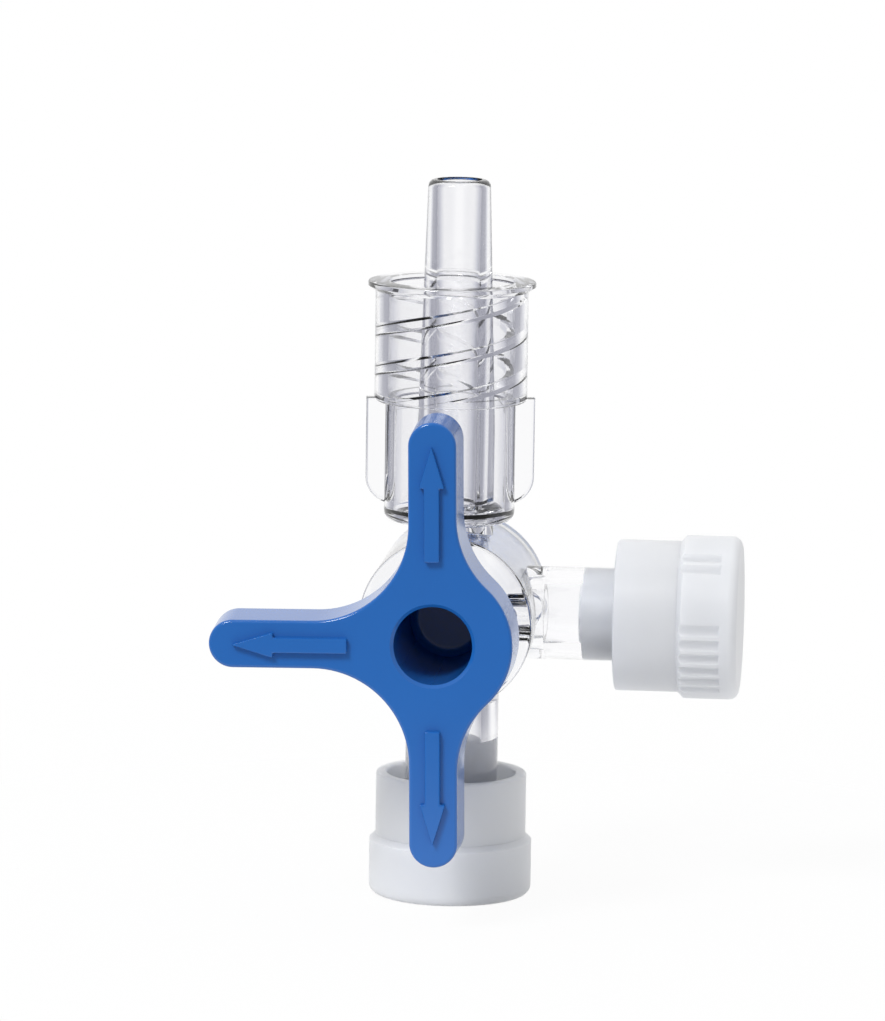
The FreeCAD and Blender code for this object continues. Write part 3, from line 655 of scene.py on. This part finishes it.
# White polyethylene: soft and slightly waxy. It lets a little light through, so its shadows are
# pale, and a fine grain from the tool dulls its highlights.
WHITE = "#DFE1E5"
GRAIN_SCALE = 1400
GRAIN_DEPTH = 0.00002
tree, shader, out = new_material("white polyethylene", {
    "Base Color": from_hex(WHITE),
    "Roughness": 0.32,
    "IOR": 1.5,
    "Subsurface Weight": 1.0,
    "Subsurface Radius": (1.0, 1.0, 1.0),
    "Subsurface Scale": 0.002})
coordinates = add(tree, "ShaderNodeTexCoord")
grain = add(tree, "ShaderNodeTexNoise", {"Scale": GRAIN_SCALE, "Detail": 3.0},
            Vector=coordinates.outputs["Object"])
bump = add(tree, "ShaderNodeBump", {"Strength": 0.2, "Distance": GRAIN_DEPTH},
           Height=grain.outputs["Fac"])
tree.links.new(bump.outputs["Normal"], shader.inputs["Normal"])
for thing, body, node in ((cap, "side_cap", "side_port_cap"),
                          (lower_cap, "bottom_cap", "bottom_port_cap")):
    wear(thing, "white polyethylene")
    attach(thing, body)
    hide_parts(node)


# Studio
# A sheet of white paper that fades into a white backdrop. Clear edges bend their light from the
# sides of the room, which are darker, so that they show as grey lines, as in the photo.

FLOOR_RADIUS = 0.16
# A hair under the lower cap's end, so that the two faces don't share a plane
FLOOR_DROP = 0.02 * MM
bpy.ops.object.select_all(action="DESELECT")
bpy.ops.mesh.primitive_circle_add(
    vertices=96, radius=FLOOR_RADIUS, fill_type="NGON", location=(0, 0, -FLOOR_DROP))
floor = bpy.context.object
floor.name = "floor"
# The sheet stays under the lower cap when that is pulled down off its port
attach(floor, "bottom_cap")
paper = bpy.data.materials.new("white paper")
paper.use_nodes = True
tree = paper.node_tree
tree.nodes.clear()


def either(tree, first, second):
    """The larger of two values, for light path flags."""
    larger = add(tree, "ShaderNodeMath", {"operation": "MAXIMUM"})
    tree.links.new(first, larger.inputs[0])
    tree.links.new(second, larger.inputs[1])
    return larger.outputs[0]


def blend(tree, share, first, second):
    """Two values blended by a share. Each is a number or an output."""
    mixer = add(tree, "ShaderNodeMix")
    sockets = (mixer.inputs[0], mixer.inputs[2], mixer.inputs[3])
    for socket, value in zip(sockets, (share, first, second)):
        if isinstance(value, (int, float)):
            socket.default_value = value
        else:
            tree.links.new(value, socket)
    return mixer.outputs[0]


def layer(tree, share, first, second):
    """Two shaders mixed by a share."""
    mixer = add(tree, "ShaderNodeMixShader")
    tree.links.new(share, mixer.inputs[0])
    tree.links.new(first, mixer.inputs[1])
    tree.links.new(second, mixer.inputs[2])
    return mixer.outputs[0]


PAPER = "#F2F2F2"
PAPER_GLOW = 0.94
UNDER_START = 0.012
UNDER_END = 0.05
FADE_START = 0.03
FADE_END = 0.1
path = add(tree, "ShaderNodeLightPath")
spread = add(tree, "ShaderNodeVectorMath", {"operation": "LENGTH"})
tree.links.new(add(tree, "ShaderNodeTexCoord").outputs["Object"], spread.inputs[0])
# The sheet turns grey right under the object, where clear pieces throw what is seen through them
under = add(tree, "ShaderNodeMapRange", {
    "interpolation_type": "SMOOTHSTEP", "From Min": UNDER_START, "From Max": UNDER_END},
    Value=spread.outputs["Value"])
seen_through = blend(tree, path.outputs["Is Transmission Ray"], 0.0, under.outputs["Result"])
seen = either(tree, path.outputs["Is Camera Ray"], path.outputs["Is Glossy Ray"])
seen = either(tree, seen, seen_through)
sheet = add(tree, "ShaderNodeBsdfDiffuse", {"Color": from_hex(PAPER)})
white = add(tree, "ShaderNodeEmission", {"Color": (1, 1, 1, 1), "Strength": 1.0})
clear = add(tree, "ShaderNodeBsdfTransparent")
fade = add(tree, "ShaderNodeMapRange", {
    "interpolation_type": "SMOOTHSTEP", "From Min": FADE_START, "From Max": FADE_END},
    Value=spread.outputs["Value"])
surface = layer(tree, blend(tree, seen, 0.0, PAPER_GLOW), sheet.outputs[0], white.outputs[0])
# The sheet can be seen through from below, so that it doesn't hide the object's underside
facing = add(tree, "ShaderNodeNewGeometry")
gone = either(tree, fade.outputs["Result"], facing.outputs["Backfacing"])
out = add(tree, "ShaderNodeOutputMaterial")
tree.links.new(layer(tree, gone, surface, clear.outputs[0]), out.inputs["Surface"])
wear(floor, "white paper")

VIEW_AZIMUTH = math.radians(5.315)
# The room is brighter overhead, and glossy pieces see it darker behind the camera
ROOM_LOW = 0.42
ROOM_HIGH = 0.8
BEHIND_CAMERA = 0.3
# How white the backdrop is, by how far a ray through clear plastic is bent to the side
SIDES = ((0.22, "#FFFFFF"), (0.42, "#D5D6DE"), (0.62, "#A2A3AE"))
world = bpy.data.worlds.new("studio")
bpy.context.scene.world = world
world.use_nodes = True
tree = world.node_tree
tree.nodes.clear()
path = add(tree, "ShaderNodeLightPath")
heading = add(tree, "ShaderNodeTexCoord").outputs["Generated"]
across = add(tree, "ShaderNodeVectorMath", {"operation": "DOT_PRODUCT"})
tree.links.new(heading, across.inputs[0])
across.inputs[1].default_value = (math.cos(VIEW_AZIMUTH), math.sin(VIEW_AZIMUTH), 0)
sideways = add(tree, "ShaderNodeMath", {"operation": "ABSOLUTE"})
tree.links.new(across.outputs["Value"], sideways.inputs[0])
sides = add(tree, "ShaderNodeValToRGB", Fac=sideways.outputs[0])
sides.color_ramp.elements.new(0.5)
for stop, (place, colour) in zip(sides.color_ramp.elements, SIDES):
    stop.position = place
    stop.color = from_hex(colour)
parts = add(tree, "ShaderNodeSeparateXYZ")
tree.links.new(heading, parts.inputs[0])
overhead = add(tree, "ShaderNodeMapRange", {
    "From Min": -0.2, "From Max": 1.0, "To Min": ROOM_LOW, "To Max": ROOM_HIGH},
    Value=parts.outputs["Z"])
gloss = add(tree, "ShaderNodeMapRange", {
    "interpolation_type": "SMOOTHSTEP",
    "From Min": -0.5, "From Max": 0.3, "To Min": BEHIND_CAMERA, "To Max": 1.0},
    Value=parts.outputs["Y"])
level = blend(tree, path.outputs["Is Glossy Ray"],
              overhead.outputs["Result"], gloss.outputs["Result"])
level = blend(tree, path.outputs["Is Camera Ray"], level, 1.0)
room = add(tree, "ShaderNodeBackground", {"Color": (1, 1, 1, 1)}, Strength=level)
beyond = add(tree, "ShaderNodeBackground", Color=sides.outputs["Color"])
out = add(tree, "ShaderNodeOutputWorld")
tree.links.new(layer(tree, path.outputs["Is Transmission Ray"], room.outputs[0], beyond.outputs[0]),
               out.inputs["Surface"])


def softbox(name, place, size, watts):
    """A square lamp that looks at the crossing of the ports."""
    data = bpy.data.lights.new(name, "AREA")
    data.size = size
    data.energy = watts
    lamp = bpy.data.objects.new(name, data)
    bpy.context.scene.collection.objects.link(lamp)
    lamp.location = place
    lamp.rotation_euler = (Vector(place) - CROSSING).to_track_quat("Z", "Y").to_euler()


# One lamp from the upper left, which gives the raised arrows their shadows
softbox("key", (-0.30, -0.52, 0.58), 0.22, 3.8)

# The photo's view, found by fitting a camera to 50 edges of the object
VIEW_ELEVATION = math.radians(8.692)
VIEW_ROLL = math.radians(-0.816)
VIEW_DISTANCE = 0.4592
FOCAL_PIXELS = 7222.6
PHOTO_HEIGHT = 1021
target = CROSSING + Vector((-0.80, 0, 6.37)) * MM
towards = Vector((math.sin(VIEW_AZIMUTH) * math.cos(VIEW_ELEVATION),
                  -math.cos(VIEW_AZIMUTH) * math.cos(VIEW_ELEVATION),
                  math.sin(VIEW_ELEVATION)))
bpy.ops.object.camera_add()
camera = bpy.context.object
camera.name = "camera"
camera.location = target + towards * VIEW_DISTANCE
upright = towards.to_track_quat("Z", "Y")
camera.rotation_mode = "QUATERNION"
camera.rotation_quaternion = upright @ Matrix.Rotation(-VIEW_ROLL, 4, "Z").to_quaternion()
camera.data.angle = 2 * math.atan(PHOTO_HEIGHT / 2 / FOCAL_PIXELS)
camera.data.clip_start = 0.01
bpy.context.scene.camera = camera
bpy.context.scene.view_settings.view_transform = "Standard"
